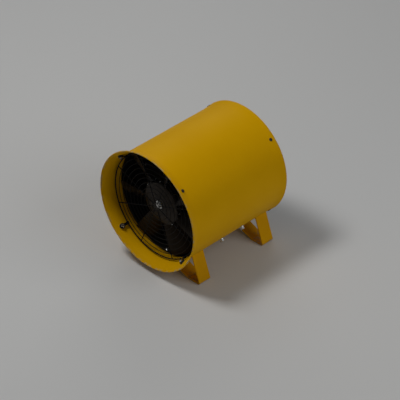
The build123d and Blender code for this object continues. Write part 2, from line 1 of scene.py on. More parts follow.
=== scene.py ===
import json
from math import asin, cos, pi, radians, sin

import bmesh
import bpy
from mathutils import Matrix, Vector


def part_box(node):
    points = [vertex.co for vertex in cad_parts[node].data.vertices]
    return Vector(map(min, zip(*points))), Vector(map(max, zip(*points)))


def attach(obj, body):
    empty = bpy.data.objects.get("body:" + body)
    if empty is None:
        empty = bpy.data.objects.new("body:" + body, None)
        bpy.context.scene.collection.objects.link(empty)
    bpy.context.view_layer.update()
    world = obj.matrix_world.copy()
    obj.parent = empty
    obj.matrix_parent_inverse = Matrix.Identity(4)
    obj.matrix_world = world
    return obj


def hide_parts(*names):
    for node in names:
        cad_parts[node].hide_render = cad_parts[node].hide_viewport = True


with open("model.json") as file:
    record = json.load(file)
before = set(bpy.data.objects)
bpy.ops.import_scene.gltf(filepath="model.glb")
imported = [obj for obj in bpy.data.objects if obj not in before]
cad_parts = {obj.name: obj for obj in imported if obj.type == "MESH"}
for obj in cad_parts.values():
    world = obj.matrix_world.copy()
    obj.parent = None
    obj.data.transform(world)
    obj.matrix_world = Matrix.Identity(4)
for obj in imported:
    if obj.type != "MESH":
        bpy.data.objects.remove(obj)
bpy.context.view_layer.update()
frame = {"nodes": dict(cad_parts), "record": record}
nodes = frame["nodes"]
print("frame loaded:", len(nodes), "CAD pieces")

drumLow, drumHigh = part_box("barrel_shell")
shaftLow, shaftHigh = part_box("motor_shaft")
axisX = (shaftLow[0] + shaftHigh[0]) / 2
axisZ = (shaftLow[2] + shaftHigh[2]) / 2
frontY, rearY = drumLow[1], drumHigh[1]
flareRadius = (drumHigh[0] - drumLow[0]) / 2
axisPlace = Vector((axisX, 0, axisZ))
# The foot nuts' washers seat on the straps, one strap thickness below the drum.
strapThick = 0.004
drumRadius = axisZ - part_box("foot_nuts")[1][2] - strapThick


# ---- camera, floor and light

cameraLook = {
    "azimuth": 44.65, "elevation": 35.71, "distance": 8.16, "lens": 218.3, "sensor": 36, "sight": 60,
    "target": (axisX + 0.0339, frontY + 0.2195, axisZ - 0.0453),
}


def makeCamera(look):
    az, el = radians(look["azimuth"]), radians(look["elevation"])
    away = Vector((sin(az) * cos(el), -cos(az) * cos(el), sin(el)))
    data = bpy.data.cameras.new("camera")
    data.lens = look["lens"]
    data.sensor_width = look["sensor"]
    data.clip_end = look["sight"]
    camera = bpy.data.objects.new("camera", data)
    camera.location = Vector(look["target"]) + away * look["distance"]
    camera.rotation_euler = away.to_track_quat("Z", "Y").to_euler()
    bpy.context.collection.objects.link(camera)
    bpy.context.scene.camera = camera


studio = {
    "floorColour": (0.62, 0.62, 0.61), "floorReach": 14, "floorRough": 0.75,
    "worldColour": (0.80, 0.81, 0.83), "worldStrength": 0.12, "aimHeight": 0.22,
    "key": {"at": (-1.5, -1.25, 4.1), "size": 1.1, "power": 74},
    "fill": {"at": (3.2, 0.8, 2.4), "size": 2.6, "power": 34},
    "back": {"at": (-2.4, 2.6, 2.2), "size": 2.4, "power": 18},
}


def makeLamp(name, lamp, aimHeight):
    data = bpy.data.lights.new(name, "AREA")
    data.energy = lamp["power"]
    data.size = lamp["size"]
    thing = bpy.data.objects.new(name, data)
    thing.location = lamp["at"]
    aim = Vector(lamp["at"]) - Vector((0, 0, aimHeight))
    thing.rotation_euler = aim.to_track_quat("Z", "Y").to_euler()
    bpy.context.collection.objects.link(thing)


def makeStudio(look):
    world = bpy.data.worlds.new("studio")
    bpy.context.scene.world = world
    world.use_nodes = True
    sky = world.node_tree.nodes["Background"]
    sky.inputs["Color"].default_value = (*look["worldColour"], 1)
    sky.inputs["Strength"].default_value = look["worldStrength"]
    for name in ("key", "fill", "back"):
        makeLamp(name, look[name], look["aimHeight"])
    mesh = bpy.data.meshes.new("floor")
    reach = look["floorReach"]
    mesh.from_pydata([(-reach, -reach, 0), (reach, -reach, 0), (reach, reach, 0), (-reach, reach, 0)],
                     [], [(0, 1, 2, 3)])
    floor = bpy.data.objects.new("floor", mesh)
    bpy.context.collection.objects.link(floor)
    paint = bpy.data.materials.new("floorPaint")
    paint.use_nodes = True
    shader = paint.node_tree.nodes["Principled BSDF"]
    shader.inputs["Base Color"].default_value = (*look["floorColour"], 1)
    shader.inputs["Roughness"].default_value = look["floorRough"]
    mesh.materials.append(paint)


makeCamera(cameraLook)
makeStudio(studio)
bpy.context.scene.view_settings.view_transform = "Standard"
print("camera, floor and lights placed")


# ---- shader node groups shared by the finishes

def newGroup(name, inputs, outputs):
    group = bpy.data.node_groups.new(name, "ShaderNodeTree")
    kinds = {"f": "NodeSocketFloat", "c": "NodeSocketColor", "v": "NodeSocketVector"}
    for label, kind in inputs:
        group.interface.new_socket(label, in_out="INPUT", socket_type=kinds[kind])
    for label, kind in outputs:
        group.interface.new_socket(label, in_out="OUTPUT", socket_type=kinds[kind])
    start = group.nodes.new("NodeGroupInput")
    end = group.nodes.new("NodeGroupOutput")
    return group, start, end


def addNode(tree, kind, links=None, values=None, **settings):
    # links: socket name or number -> output socket; values: socket name or number -> number or colour
    node = tree.nodes.new(kind)
    for key, value in settings.items():
        setattr(node, key, value)
    for key, value in (values or {}).items():
        node.inputs[key].default_value = value
    for key, source in (links or {}).items():
        tree.links.new(source, node.inputs[key])
    return node


def mathsFor(tree):
    # Gives a function that adds one maths node to the tree. A plain number sets its socket.
    def maths(operation, a, b=0):
        node = addNode(tree, "ShaderNodeMath", operation=operation)
        for socket, value in zip(node.inputs, (a, b)):
            if isinstance(value, (int, float)):
                socket.default_value = value
            else:
                tree.links.new(value, socket)
        return node.outputs[0]

    return maths


def blend(group, start, end, mask, over):
    # Mixes the incoming colour toward the one named over, by the mask.
    mix = addNode(group, "ShaderNodeMix", data_type="RGBA")
    group.links.new(mask, mix.inputs["Factor"])
    group.links.new(start.outputs["Colour"], mix.inputs["A"])
    group.links.new(start.outputs[over], mix.inputs["B"])
    group.links.new(mix.outputs["Result"], end.inputs["Colour"])


def noiseMask(tree, vector, scale, low, high, detail=4.0):
    noise = addNode(tree, "ShaderNodeTexNoise", {"Vector": vector, "Scale": scale}, {"Detail": detail})
    return addNode(tree, "ShaderNodeMapRange", {"Value": noise.outputs["Fac"]},
                   {"From Min": low, "From Max": high}).outputs["Result"]


def buildSkin():
    # Slow colour blotches, a fine grain height, and a roughness that varies with both.
    group, start, end = newGroup(
        "surfaceSkin",
        [("Vector", "v"), ("Colour", "c"), ("Second Colour", "c"), ("Blotch Scale", "f"),
         ("Grain Scale", "f"), ("Rough Low", "f"), ("Rough High", "f")],
        [("Colour", "c"), ("Roughness", "f"), ("Height", "f")])
    blotch = noiseMask(group, start.outputs["Vector"], start.outputs["Blotch Scale"], 0.32, 0.70)
    grain = addNode(group, "ShaderNodeTexNoise", {"Vector": start.outputs["Vector"],
                    "Scale": start.outputs["Grain Scale"]}, {"Detail": 3.0, "Roughness": 0.55})
    blend(group, start, end, blotch, "Second Colour")
    mixed = mathsFor(group)("MULTIPLY", blotch, grain.outputs["Fac"])
    rough = addNode(group, "ShaderNodeMapRange", {"Value": mixed,
                    "To Min": start.outputs["Rough Low"], "To Max": start.outputs["Rough High"]},
                    {"From Min": 0.1, "From Max": 0.6})
    group.links.new(rough.outputs["Result"], end.inputs["Roughness"])
    group.links.new(grain.outputs["Fac"], end.inputs["Height"])
    return group


def buildDust():
    # Pale dust that gathers on faces looking up.
    group, start, end = newGroup(
        "dustFilm",
        [("Vector", "v"), ("Normal", "v"), ("Colour", "c"), ("Dust Colour", "c"), ("Amount", "f"),
         ("Scale", "f")],
        [("Colour", "c")])
    split = addNode(group, "ShaderNodeSeparateXYZ", {"Vector": start.outputs["Normal"]})
    up = addNode(group, "ShaderNodeMapRange", {"Value": split.outputs["Z"]},
                 {"From Min": 0.1, "From Max": 1.0})
    patch = noiseMask(group, start.outputs["Vector"], start.outputs["Scale"], 0.38, 0.72, 6.0)
    maths = mathsFor(group)
    held = maths("MULTIPLY", up.outputs["Result"], patch)
    blend(group, start, end, maths("MULTIPLY", held, start.outputs["Amount"]), "Dust Colour")
    return group


def buildRub():
    # Wear near two planes square to one axis, broken up by noise: drum rims or strap edges.
    group, start, end = newGroup(
        "edgeRub",
        [("Vector", "v"), ("Along", "v"), ("Low", "f"), ("High", "f"), ("Width", "f"),
         ("Scale", "f"), ("Colour", "c"), ("Rub Colour", "c"), ("Amount", "f")],
        [("Colour", "c")])
    along = addNode(group, "ShaderNodeVectorMath", {0: start.outputs["Vector"],
                    1: start.outputs["Along"]}, operation="DOT_PRODUCT").outputs["Value"]
    maths = mathsFor(group)
    fromLow = maths("SUBTRACT", along, start.outputs["Low"])
    fromHigh = maths("SUBTRACT", start.outputs["High"], along)
    share = maths("DIVIDE", maths("MINIMUM", fromLow, fromHigh), start.outputs["Width"])
    edge = addNode(group, "ShaderNodeMapRange", {"Value": share}, {"To Min": 1.0, "To Max": 0.0})
    speck = noiseMask(group, start.outputs["Vector"], start.outputs["Scale"], 0.45, 0.60, 5.0)
    both = maths("MULTIPLY", edge.outputs["Result"], speck)
    blend(group, start, end, maths("MULTIPLY", both, start.outputs["Amount"]), "Rub Colour")
    return group


# Half the length over which the painted shade on the inner wall comes in.
shadeFade = 0.004


def buildPaintedShade():
    # Paints shade: darkens what lies inside a radius about the axis and behind a line along it.
    group, start, end = newGroup(
        "paintedShadeInside",
        [("Vector", "v"), ("Centre", "v"), ("Radius", "f"), ("From", "f"), ("Colour", "c"),
         ("Shade Colour", "c")],
        [("Colour", "c")])
    off = addNode(group, "ShaderNodeVectorMath", {0: start.outputs["Vector"],
                  1: start.outputs["Centre"]}, operation="SUBTRACT")
    flat = addNode(group, "ShaderNodeVectorMath", {0: off.outputs["Vector"]}, {1: (1, 0, 1)},
                   operation="MULTIPLY")
    away = addNode(group, "ShaderNodeVectorMath", {0: flat.outputs["Vector"]}, operation="LENGTH")
    maths = mathsFor(group)
    within = maths("LESS_THAN", away.outputs["Value"], start.outputs["Radius"])
    split = addNode(group, "ShaderNodeSeparateXYZ", {"Vector": start.outputs["Vector"]})
    past = maths("SUBTRACT", split.outputs["Y"], start.outputs["From"])
    behind = addNode(group, "ShaderNodeMapRange", {"Value": past},
                     {"From Min": -shadeFade, "From Max": shadeFade})
    blend(group, start, end, maths("MULTIPLY", within, behind.outputs["Result"]), "Shade Colour")
    return group


skinGroup = buildSkin()
dustGroup = buildDust()
rubGroup = buildRub()
# Painted shade for the drum's inner wall.
paintedShadeGroup = buildPaintedShade()
# The same in every finish.
dustScale, bumpDepth, coatRough = 14, 0.0004, 0.15


def addLayer(tree, group, coords, colour, values):
    layer = addNode(tree, "ShaderNodeGroup", node_tree=group)
    for key, value in values.items():
        layer.inputs[key].default_value = value
    tree.links.new(coords.outputs["Object"], layer.inputs["Vector"])
    tree.links.new(colour, layer.inputs["Colour"])
    return layer


def makeFinish(name, look):
    # A full finish from one dictionary: skin, then any rub, dust and painted shade inside, then the shader.
    paint = bpy.data.materials.new(name)
    paint.use_nodes = True
    tree = paint.node_tree
    shader = tree.nodes["Principled BSDF"]
    coords = addNode(tree, "ShaderNodeTexCoord")
    place = addNode(tree, "ShaderNodeMapping", {"Vector": coords.outputs["Object"]},
                    {"Scale": look.get("stretch", (1, 1, 1))})
    vector = place.outputs["Vector"]
    skin = addNode(tree, "ShaderNodeGroup", node_tree=skinGroup)
    skin.inputs["Colour"].default_value = (*look["colour"], 1)
    skin.inputs["Second Colour"].default_value = (*look.get("second", look["colour"]), 1)
    skin.inputs["Blotch Scale"].default_value = look.get("blotch", 9)
    skin.inputs["Grain Scale"].default_value = look.get("grain", 600)
    skin.inputs["Rough Low"].default_value = look["rough"][0]
    skin.inputs["Rough High"].default_value = look["rough"][1]
    tree.links.new(vector, skin.inputs["Vector"])
    colour = skin.outputs["Colour"]
    if "rub" in look:
        colour = addLayer(tree, rubGroup, coords, colour, look["rub"]).outputs["Colour"]
    if look.get("dust", 0) > 0:
        dust = addLayer(tree, dustGroup, coords, colour, {
            "Dust Colour": (*look.get("dustColour", (0.42, 0.38, 0.32)), 1),
            "Amount": look["dust"], "Scale": dustScale})
        tree.links.new(coords.outputs["Normal"], dust.inputs["Normal"])
        colour = dust.outputs["Colour"]
    # The painted shade on the drum's inner wall, for finishes that have one.
    if "inside" in look:
        colour = addLayer(tree, paintedShadeGroup, coords, colour, look["inside"]).outputs["Colour"]
    tree.links.new(colour, shader.inputs["Base Color"])
    tree.links.new(skin.outputs["Roughness"], shader.inputs["Roughness"])
    bump = addNode(tree, "ShaderNodeBump", {"Height": skin.outputs["Height"]},
                   {"Strength": look.get("bump", 0.2), "Distance": bumpDepth})
    tree.links.new(bump.outputs["Normal"], shader.inputs["Normal"])
    shader.inputs["Metallic"].default_value = look.get("metal", 0)
    shader.inputs["Coat Weight"].default_value = look.get("coat", 0)
    shader.inputs["Coat Roughness"].default_value = coatRough
    shader.inputs["Specular IOR Level"].default_value = look.get("specular", 0.5)
    shader.inputs["Specular Tint"].default_value = (*look.get("tint", (1, 1, 1)), 1)
    return paint


drumRub = {"Along": (0, 1, 0), "Low": frontY, "High": rearY, "Width": 0.006, "Scale": 60,
           "Rub Colour": (0.42, 0.36, 0.22, 1), "Amount": 0.75}
footRub = {"Along": (0, 0, 1), "Low": 0.0, "High": 9.0, "Width": 0.012, "Scale": 90,
           "Rub Colour": (0.20, 0.19, 0.17, 1), "Amount": 0.8}
# The drum's inner wall is coloured near black from 80 mm behind the rim: painted shade for the dark deep
# inside the drum. Its skin is split at mid thickness.
drumWall = 0.0016
drumPaintedShade = {"Centre": axisPlace, "Radius": drumRadius - drumWall / 2, "From": frontY + 0.080,
              "Shade Colour": (0.009, 0.009, 0.009, 1)}
finishes = {
    "drum_paint": {"colour": (0.70, 0.375, 0.0015), "second": (0.66, 0.345, 0.001), "blotch": 5,
                   "grain": 420, "rough": (0.48, 0.58), "bump": 0.08, "specular": 0.06,
                   "tint": (1.0, 0.55, 0.03),
                   "rub": drumRub, "inside": drumPaintedShade},
    # The straps wear the drum's yellow paint, coloured here a deeper orange: painted shade for the light
    # bounced to orange between strap and drum.
    "foot_paint": {"colour": (0.68, 0.34, 0.0015), "second": (0.60, 0.29, 0.001), "blotch": 14,
                   "grain": 420, "rough": (0.44, 0.58), "bump": 0.10, "specular": 0.09,
                   "tint": (1.0, 0.52, 0.03), "dust": 0.05, "dustColour": (0.45, 0.33, 0.12),
                   "rub": footRub},
    "guard_wire": {"colour": (0.005, 0.005, 0.005), "second": (0.009, 0.008, 0.008), "blotch": 30,
                   "grain": 900, "rough": (0.46, 0.6), "bump": 0.15, "specular": 0.10},
    "zinc": {"colour": (0.58, 0.58, 0.56), "second": (0.44, 0.45, 0.45), "blotch": 120, "grain": 1500,
             "rough": (0.22, 0.42), "metal": 1.0, "bump": 0.12},
    "dark_screw": {"colour": (0.03, 0.028, 0.026), "second": (0.06, 0.05, 0.04), "blotch": 140,
                   "grain": 1500, "rough": (0.35, 0.55), "metal": 0.6, "bump": 0.2},
    "pad_rubber": {"colour": (0.012, 0.012, 0.012), "second": (0.03, 0.029, 0.027), "blotch": 70,
                   "grain": 1800, "rough": (0.6, 0.85), "bump": 0.3, "dust": 0.15},
    "motor_paint": {"colour": (0.018, 0.028, 0.055), "second": (0.024, 0.032, 0.052), "blotch": 18,
                    "grain": 700, "rough": (0.32, 0.5), "bump": 0.15, "dust": 0.15},
    "cast_bell": {"colour": (0.10, 0.10, 0.105), "second": (0.15, 0.15, 0.15), "blotch": 40,
                  "grain": 1100, "rough": (0.45, 0.7), "metal": 0.7, "bump": 0.45, "dust": 0.2},
    "fan_cast": {"colour": (0.005, 0.0045, 0.004), "second": (0.010, 0.0085, 0.007), "blotch": 25,
                 "grain": 900, "rough": (0.28, 0.42), "bump": 0.08, "specular": 0.30,
                 "tint": (0.55, 0.38, 0.24)},
    "shaft_steel": {"colour": (0.60, 0.60, 0.61), "second": (0.50, 0.50, 0.52), "blotch": 80,
                    "grain": 900, "stretch": (1, 8, 1), "rough": (0.14, 0.28), "metal": 1.0,
                    "bump": 0.1},
    "lamination": {"colour": (0.13, 0.13, 0.135), "second": (0.20, 0.19, 0.19), "blotch": 60,
                   "grain": 260, "stretch": (1, 10, 1), "rough": (0.4, 0.6), "metal": 0.8,
                   "bump": 0.5},
    "copper_coil": {"colour": (0.42, 0.14, 0.05), "second": (0.30, 0.09, 0.03), "blotch": 90,
                    "grain": 500, "stretch": (1, 3, 1), "rough": (0.25, 0.42), "metal": 0.7,
                    "bump": 0.7, "coat": 0.4},
    "cage_alloy": {"colour": (0.5, 0.5, 0.51), "second": (0.42, 0.42, 0.43), "blotch": 50,
                   "grain": 1000, "rough": (0.4, 0.6), "metal": 0.9, "bump": 0.4},
    "can_metal": {"colour": (0.56, 0.56, 0.57), "second": (0.48, 0.48, 0.49), "blotch": 40,
                  "grain": 900, "stretch": (1, 6, 1), "rough": (0.25, 0.4), "metal": 1.0, "bump": 0.1},
    "box_grey": {"colour": (0.030, 0.031, 0.033), "second": (0.038, 0.038, 0.039), "blotch": 20,
                 "grain": 1600, "rough": (0.5, 0.7), "bump": 0.4, "dust": 0.2},
    "switch_black": {"colour": (0.010, 0.010, 0.011), "second": (0.014, 0.014, 0.015), "blotch": 50,
                     "grain": 2000, "rough": (0.22, 0.36), "bump": 0.1},
    "rocker_red": {"colour": (0.42, 0.012, 0.010), "second": (0.36, 0.010, 0.009), "blotch": 70,
                   "grain": 2000, "rough": (0.2, 0.34), "bump": 0.08, "coat": 0.3},
    "gland_nylon": {"colour": (0.018, 0.018, 0.019), "second": (0.026, 0.026, 0.027), "blotch": 60,
                    "grain": 1700, "rough": (0.42, 0.6), "bump": 0.25},
    "sleeve_grey": {"colour": (0.05, 0.05, 0.052), "second": (0.065, 0.064, 0.062), "blotch": 60,
                    "grain": 900, "rough": (0.45, 0.62), "bump": 0.2, "dust": 0.15},
}
materials = {name: makeFinish(name, look) for name, look in finishes.items()}
slotOf = {part["node"]: part["material_slot"] for part in frame["record"]["subparts"]}
for name, thing in nodes.items():
    for place in thing.material_slots:
        place.material = materials[slotOf[name]]
print("finishes made:", len(materials))


# ---- small makers

def newPiece(name, mesh, finish, body="housing", smooth=40):
    thing = bpy.data.objects.new(name, mesh)
    bpy.context.collection.objects.link(thing)
    if not mesh.materials:
        mesh.materials.append(materials[finish])
    mesh.shade_smooth()
    mesh.set_sharp_from_angle(angle=radians(smooth))
    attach(thing, body)
    return thing


def roundDrum(r, t, a):
    # A place at a radius and angle about the drum's axis, t along it.
    return (axisX + r * cos(a), t, axisZ + r * sin(a))


def roundConduit(r, t, a):
    # The same about the level line square to the drum's axis, t out to the left from that axis.
    return (axisX - t, r * cos(a), axisZ + r * sin(a))


def latheMesh(name, outline, steps, put):
    # Turns a closed outline of (radius, t) round the line that put() stands for.
    mesh = bpy.data.meshes.new(name)
    shape = bmesh.new()
    rings = []
    for i in range(steps):
        a = 2 * pi * i / steps
        rings.append([shape.verts.new(put(r, t, a)) for r, t in outline])
    for i in range(steps):
        here, after = rings[i], rings[(i + 1) % steps]
        for j in range(len(outline)):
            k = (j + 1) % len(outline)
            shape.faces.new((here[j], here[k], after[k], after[j]))
    bmesh.ops.recalc_face_normals(shape, faces=shape.faces)
    shape.to_mesh(mesh)
    shape.free()
    return mesh


# ---- drum: one sheet rolled and spun, with a rolled bead at each end
# The two bead turns are the first and last angles of each bead in degrees.

drum = {"wall": drumWall, "flareLength": 0.041, "frontBead": 0.0022, "rearBead": 0.0024,
        "frontTurn": (160, 380), "rearTurn": (-35, 215),
        "steps": 240, "flareSteps": 18, "beadSteps": 12, "straightSteps": 10}


def beadPoints(centre, radius, turn, steps):
    start, end = radians(turn[0]), radians(turn[1])
    out = []
    for i in range(steps + 1):
        a = start + (end - start) * i / steps
        out.append((centre[0] + radius * cos(a), centre[1] + radius * sin(a)))
    return out


def makeDrum(look):
    radius = drumRadius
    run = look["flareLength"] - look["frontBead"]
    rise = flareRadius - look["frontBead"] + look["wall"] / 2 - radius
    arc = (run ** 2 + rise ** 2) / (2 * rise)
    bendY = frontY + look["flareLength"]
    wall = look["wall"]

    def flareLine(offset):
        r = arc + offset
        turn = asin(run / r)
        out = []
        for i in range(look["flareSteps"] + 1):
            a = turn * (1 - i / look["flareSteps"])
            out.append((radius + arc - r * cos(a), bendY - r * sin(a)))
        return out

    outer, inner = flareLine(0), flareLine(wall)
    rearLine = rearY - look["rearBead"]
    straight = look["straightSteps"]
    outerRun = [(radius, bendY + (rearLine - bendY) * i / straight) for i in range(1, straight)]
    innerRun = [(radius - wall, y) for r, y in outerRun]
    frontCentre = ((outer[0][0] + inner[0][0]) / 2, outer[0][1])
    rearCentre = (radius + look["rearBead"] / 4, rearLine)
    front = beadPoints(frontCentre, look["frontBead"], look["frontTurn"], look["beadSteps"])
    rear = beadPoints(rearCentre, look["rearBead"], look["rearTurn"], look["beadSteps"])
    outline = outer[1:] + outerRun + rear + list(reversed(innerRun)) + list(reversed(inner[1:])) + front
    return latheMesh("drum", outline, look["steps"], roundDrum)


drumPiece = newPiece("drum", makeDrum(drum), "drum_paint")
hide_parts("barrel_shell")
print("drum made, radius", round(drumRadius * 1000, 1), "mm")


# ---- geometry node trees: how each one starts and ends, and how one becomes a mesh

def newTree(name, inputs):
    tree = bpy.data.node_groups.new(name, "GeometryNodeTree")
    tree.interface.new_socket("Geometry", in_out="OUTPUT", socket_type="NodeSocketGeometry")
    for label, kind in (*inputs, ("Material", "Material")):
        tree.interface.new_socket(label, in_out="INPUT", socket_type="NodeSocket" + kind)
    return tree, tree.nodes.new("NodeGroupInput").outputs


def endTree(tree, geometry, material):
    whole = addNode(tree, "GeometryNodeRealizeInstances", {"Geometry": geometry})
    coloured = addNode(tree, "GeometryNodeSetMaterial",
                       {"Geometry": whole.outputs["Geometry"], "Material": material})
    end = tree.nodes.new("NodeGroupOutput")
    tree.links.new(coloured.outputs["Geometry"], end.inputs["Geometry"])
    return tree


def growMesh(name, tree, values):
    # Runs a geometry tree once and returns its plain mesh.
    carrier = bpy.data.objects.new(name + "Carrier", bpy.data.meshes.new(name + "Carrier"))
    bpy.context.collection.objects.link(carrier)
    modifier = carrier.modifiers.new("grow", "NODES")
    modifier.node_group = tree
    for socket in tree.interface.items_tree:
        if socket.in_out == "INPUT" and socket.name in values:
            modifier[socket.identifier] = values[socket.name]
    graph = bpy.context.evaluated_depsgraph_get()
    graph.update()
    mesh = bpy.data.meshes.new_from_object(carrier.evaluated_get(graph))
    mesh.name = name
    carrier.modifiers.remove(modifier)
    bpy.data.objects.remove(carrier)
    return mesh


# ---- wire guards, by geometry nodes

wireSides = {"ring": 10, "rim": 14, "spoke": 12}
wireSteps = {"ring": 144, "rim": 180}
# Each spoke starts this far inside the core ring, and a weld is this many times as thick as a spoke.
spokeInset, nuggetSize = 0.003, 1.25


def guardTree():
    tree, given = newTree("wireGuard", (
        ("Rim Radius", "Float"), ("Core Radius", "Float"), ("Ring Count", "Int"),
        ("Rim Wire", "Float"), ("Ring Wire", "Float"), ("Spoke Wire", "Float"),
        ("Spoke Count", "Int"), ("Spoke Shift", "Float"), ("Place", "Vector")))
    maths = mathsFor(tree)

    def wire(curve, radius, sides):
        profile = addNode(tree, "GeometryNodeCurvePrimitiveCircle", {"Radius": radius},
                          {"Resolution": sides})
        even = addNode(tree, "GeometryNodeSetCurveRadius", {"Curve": curve}, {"Radius": 1.0})
        tube = addNode(tree, "GeometryNodeCurveToMesh",
                       {"Curve": even.outputs["Curve"], "Profile Curve": profile.outputs["Curve"]},
                       {"Fill Caps": True})
        return tube.outputs["Mesh"]

    # Rings: one unit circle, scaled to each radius. The rim is a thicker wire of its own.
    last = maths("SUBTRACT", given["Ring Count"], 1)
    gap = maths("DIVIDE", maths("SUBTRACT", given["Rim Radius"], given["Core Radius"]), last)
    points = addNode(tree, "GeometryNodePoints", {"Count": last})
    index = tree.nodes.new("GeometryNodeInputIndex")
    ringRadius = maths("ADD", given["Core Radius"], maths("MULTIPLY", index.outputs[0], gap))
    circle = addNode(tree, "GeometryNodeCurvePrimitiveCircle",
                     values={"Resolution": wireSteps["ring"], "Radius": 1.0})
    rings = addNode(tree, "GeometryNodeInstanceOnPoints",
                    {"Points": points.outputs["Points"], "Instance": circle.outputs["Curve"],
                     "Scale": ringRadius})
    ringCurves = addNode(tree, "GeometryNodeRealizeInstances", {"Geometry": rings.outputs["Instances"]})
    rim = addNode(tree, "GeometryNodeCurvePrimitiveCircle", {"Radius": given["Rim Radius"]},
                  {"Resolution": wireSteps["rim"]})

    # Spokes: one straight wire, turned round the centre.
    inner = addNode(tree, "ShaderNodeCombineXYZ",
                    {"X": maths("SUBTRACT", given["Core Radius"], spokeInset)})
    outer = addNode(tree, "ShaderNodeCombineXYZ", {"X": given["Rim Radius"]})
    line = addNode(tree, "GeometryNodeCurvePrimitiveLine",
                   {"Start": inner.outputs[0], "End": outer.outputs[0]})
    centre = addNode(tree, "GeometryNodePoints", {"Count": given["Spoke Count"]})
    spokeTurn = maths("DIVIDE", 2 * pi, given["Spoke Count"])
    turn = maths("MULTIPLY", maths("ADD", index.outputs[0], 0.5), spokeTurn)
    aim = addNode(tree, "ShaderNodeCombineXYZ", {"Z": turn})
    fan = addNode(tree, "GeometryNodeInstanceOnPoints",
                  {"Points": centre.outputs["Points"], "Instance": line.outputs["Curve"],
                   "Rotation": aim.outputs[0]})
    spokes = addNode(tree, "GeometryNodeRealizeInstances", {"Geometry": fan.outputs["Instances"]})
    shift = addNode(tree, "ShaderNodeCombineXYZ", {"Z": given["Spoke Shift"]})
    spokeTubes = wire(spokes.outputs["Geometry"], given["Spoke Wire"], wireSides["spoke"])
    spokeMesh = addNode(tree, "GeometryNodeTransform",
                        {"Geometry": spokeTubes, "Translation": shift.outputs[0]})

    # Weld nuggets where each spoke crosses each ring.
    crossings = addNode(tree, "GeometryNodePoints",
                        {"Count": maths("MULTIPLY", given["Spoke Count"], given["Ring Count"])})
    lane = maths("FLOOR", maths("DIVIDE", index.outputs[0], given["Spoke Count"]))
    step = maths("MODULO", index.outputs[0], given["Spoke Count"])
    crossRadius = maths("ADD", given["Core Radius"], maths("MULTIPLY", lane, gap))
    crossTurn = maths("MULTIPLY", maths("ADD", step, 0.5), spokeTurn)
    spot = addNode(tree, "ShaderNodeCombineXYZ",
                   {"X": maths("MULTIPLY", crossRadius, maths("COSINE", crossTurn)),
                    "Y": maths("MULTIPLY", crossRadius, maths("SINE", crossTurn)),
                    "Z": maths("MULTIPLY", given["Spoke Shift"], 0.5)})
    placed = addNode(tree, "GeometryNodeSetPosition",
                     {"Geometry": crossings.outputs["Points"], "Position": spot.outputs[0]})
    nugget = addNode(tree, "GeometryNodeMeshIcoSphere",
                     {"Radius": maths("MULTIPLY", given["Spoke Wire"], nuggetSize)}, {"Subdivisions": 2})
    nuggets = addNode(tree, "GeometryNodeInstanceOnPoints",
                      {"Points": placed.outputs["Geometry"], "Instance": nugget.outputs["Mesh"]})

    join = tree.nodes.new("GeometryNodeJoinGeometry")
    for part in (wire(ringCurves.outputs["Geometry"], given["Ring Wire"], wireSides["ring"]),
                 wire(rim.outputs["Curve"], given["Rim Wire"], wireSides["rim"]),
                 spokeMesh.outputs["Geometry"], nuggets.outputs["Instances"]):
        tree.links.new(part, join.inputs["Geometry"])
    stand = addNode(tree, "GeometryNodeTransform",
                    {"Geometry": join.outputs["Geometry"], "Translation": given["Place"]},
                    {"Rotation": (pi / 2, 0, 0)})
    return endTree(tree, stand.outputs["Geometry"], given["Material"])


guardLook = {"rimWire": 0.002, "ringWire": 0.0011, "spokeWire": 0.0016, "core": 0.016,
             "rings": 11, "spokes": 8, "sink": 0.0006}


def makeGuard(name, node, spokeSide, look, tree):
    low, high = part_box(node)
    rimRadius = (high[0] - low[0]) / 2 - look["rimWire"]
    ringY = low[1] + look["rimWire"] if spokeSide > 0 else high[1] - look["rimWire"]
    # The tree stands the guard up by turning +Z to -Y, so a spoke shift toward +Y is negative.
    shift = -spokeSide * (look["ringWire"] + look["spokeWire"] - look["sink"])
    mesh = growMesh(name, tree, {
        "Rim Radius": rimRadius, "Core Radius": look["core"], "Ring Count": look["rings"],
        "Rim Wire": look["rimWire"], "Ring Wire": look["ringWire"], "Spoke Wire": look["spokeWire"],
        "Spoke Count": look["spokes"], "Spoke Shift": shift, "Place": (axisX, ringY, axisZ),
        "Material": materials["guard_wire"]})
    guard = newPiece(name, mesh, "guard_wire")
    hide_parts(node)
    print(name, len(mesh.polygons), "faces")


wireTree = guardTree()
makeGuard("inletGuard", "front_guard", 1, guardLook, wireTree)
makeGuard("outletGuard", "rear_guard", -1, guardLook, wireTree)


# ---- weld beads where the strap legs run onto the drum, by geometry nodes

beadSpread = (0.86, 1.12)


def beadTree():
    tree, given = newTree("beadRow", (
        ("Start", "Vector"), ("Step", "Vector"), ("Count", "Int"), ("Radius", "Float"),
        ("Seed", "Int")))
    line = addNode(tree, "GeometryNodeMeshLine", {"Count": given["Count"], "Start Location": given["Start"],
                   "Offset": given["Step"]})
    nugget = addNode(tree, "GeometryNodeMeshIcoSphere", {"Radius": given["Radius"]}, {"Subdivisions": 2})
    size = addNode(tree, "FunctionNodeRandomValue", {"Seed": given["Seed"]}, data_type="FLOAT")
    # A random float's bounds are its third and fourth sockets, and its value is the second output.
    for place, bound in zip((2, 3), beadSpread):
        size.inputs[place].default_value = bound
    row = addNode(tree, "GeometryNodeInstanceOnPoints",
                  {"Points": line.outputs["Mesh"], "Instance": nugget.outputs["Mesh"],
                   "Scale": size.outputs[1]})
    return endTree(tree, row.outputs["Instances"], given["Material"])


strapLook = {"lean": radians(19.5), "beads": 24, "beadRadius": 0.0020, "inset": 0.0012,
             "lift": 0.0012}


